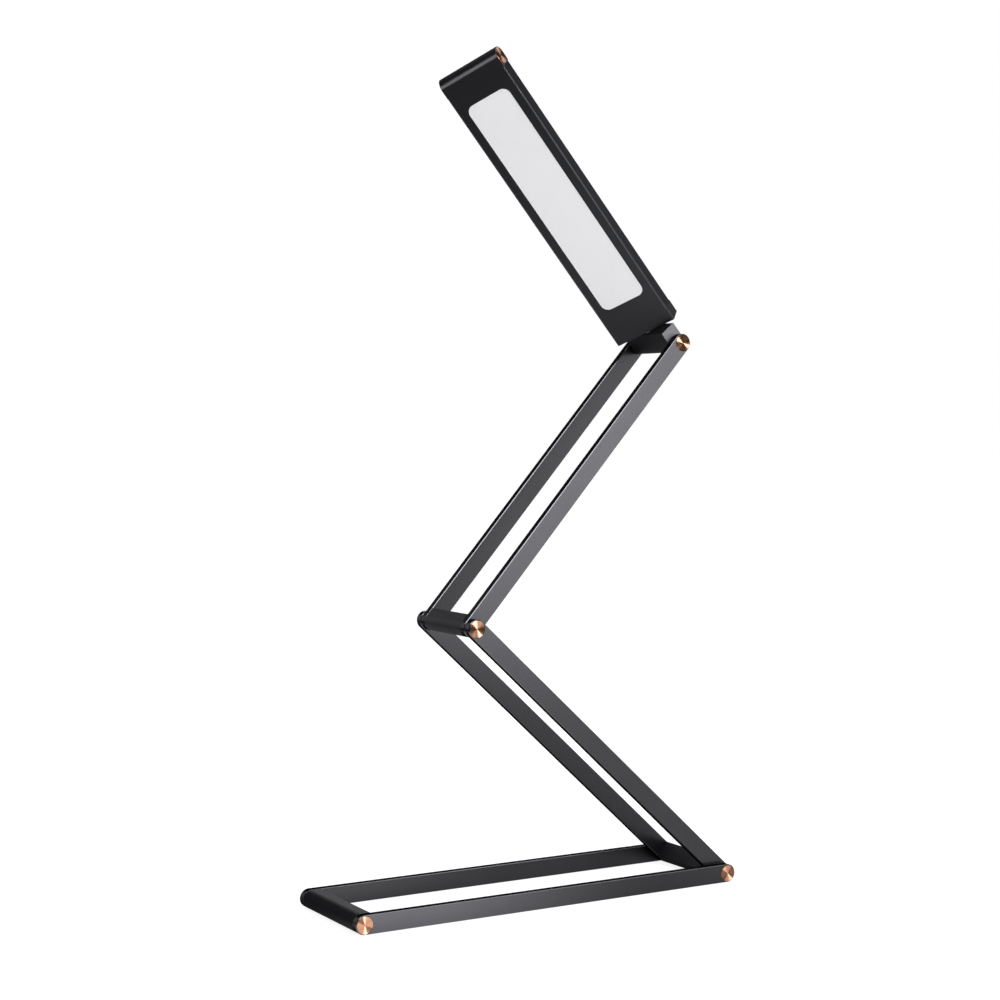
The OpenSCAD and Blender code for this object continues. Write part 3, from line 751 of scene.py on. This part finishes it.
def seen(g):
    """1 for rays from the camera, and for those that metal and glass send on"""
    path = g.node("LightPath").outputs
    return g.math("MAXIMUM", path["Is Camera Ray"],
                  g.math("MAXIMUM", path["Is Glossy Ray"], path["Is Transmission Ray"]))


def studio_world():
    """Pale light from all round, and white where it is seen"""
    world = bpy.data.worlds.new("studio")
    world.use_nodes = True
    bpy.context.scene.world = world
    g = Graph(world.node_tree)
    ambient = g.node("Background", {"Color": grey(1.0, NEUTRAL), "Strength": AMBIENT})
    white = g.node("Background", {"Color": grey(1.0, NEUTRAL), "Strength": WHITE})
    both = g.node("MixShader", {0: seen(g), 1: ambient.outputs[0], 2: white.outputs[0]})
    g.put(g.node("OutputWorld").inputs["Surface"], both.outputs[0])


def spot(g, at, sizes, levels):
    """A round spot on the floor: its radius outside and inside its soft edge, and the levels there"""
    away = g.vector("LENGTH", g.vector("SUBTRACT", g.place(), at))
    return g.spread(g.step(away, *sizes), *levels)


def floor_finish(g):
    """White to the camera with the shadows kept. Metal sees it dimmer, with a painted pool of light by the
    base's end, and other rays see plain pale paint."""
    bounce = g.node("BsdfDiffuse", {"Color": grey(FLOOR_BOUNCE, NEUTRAL)})
    faint = g.node("BsdfDiffuse", {"Color": grey(FLOOR_SHADE, NEUTRAL)})
    glossy = g.node("LightPath").outputs["Is Glossy Ray"]
    in_metal = g.math("MULTIPLY", glossy, spot(g, POOL_AT, POOL_SIZES, POOL_LEVELS))
    in_view = g.math("MULTIPLY", g.spread(glossy, 1.0, 0.0), FLOOR_GLOW)
    glow = g.node("Emission", {"Color": grey(1.0, NEUTRAL), "Strength": g.math("ADD", in_metal, in_view)})
    white = g.node("AddShader", {0: faint.outputs[0], 1: glow.outputs[0]})
    surface(g, g.node("MixShader", {0: seen(g), 1: bounce.outputs[0], 2: white.outputs[0]}))


def dark_cloth(g):
    # A dim glow, with a patch of painted light in it
    level = spot(g, PATCH_AT, PATCH_SIZES, PATCH_LEVELS)
    surface(g, g.node("Emission", {"Color": grey(1.0, NEUTRAL), "Strength": level}))


def stage_piece(name, verts, faces, finish):
    mesh = bpy.data.meshes.new(name)
    mesh.from_pydata(verts, [], faces)
    mesh.materials.append(finish)
    made = bpy.data.objects.new(name, mesh)
    bpy.context.scene.collection.objects.link(made)
    return made


def oblong(x0, x1, half, z):
    """A flat face on the floor that looks up or down"""
    return [(x0, -half, z), (x1, -half, z), (x1, half, z), (x0, half, z)], [(0, 1, 2, 3)]


def floor():
    verts, faces = oblong(-FLOOR_HALF, FLOOR_HALF, FLOOR_HALF, 0)
    stage_piece("floor", verts, faces, material("floor_white", floor_finish))


def curtains():
    """A ring of dark cloth and a sheet of it to the left, which only reflections show"""
    cloth = material("dark_cloth", dark_cloth)
    ring = lathe([(CLOTH_RADIUS, CLOTH_RISE), (CURTAIN_RADIUS, CLOTH_RISE),
                  (CURTAIN_RADIUS, CURTAIN_HEIGHT)], CURTAIN_STEPS)
    sheet = oblong(LEFT_CLOTH_FAR, LEFT_CLOTH_NEAR, LEFT_CLOTH_HALF, LEFT_CLOTH_RISE)
    for name, (verts, faces) in (("curtain", ring), ("floor_cloth", sheet)):
        made = stage_piece(name, verts, faces, cloth)
        made.visible_camera = made.visible_diffuse = made.visible_shadow = made.visible_transmission = False


def softbox(name, at, aim, width, height, power):
    data = bpy.data.lights.new(name, "AREA")
    data.shape, data.size, data.size_y, data.energy = "RECTANGLE", width, height, power
    light = bpy.data.objects.new(name, data)
    light.location = at
    light.rotation_euler = (Vector(aim) - Vector(at)).to_track_quat("-Z", "Y").to_euler()
    light.visible_camera = False
    bpy.context.scene.collection.objects.link(light)
    return light


def lights():
    for lamp in LAMPS:
        softbox(*lamp)
    softbox(*TIP_CARD).visible_diffuse = False


plain_camera()
studio_world()
floor()
curtains()
lights()
dress_frames()
dress_head()
dress_hidden()
add_caps()
add_back_screws()
add_button()
add_contacts()
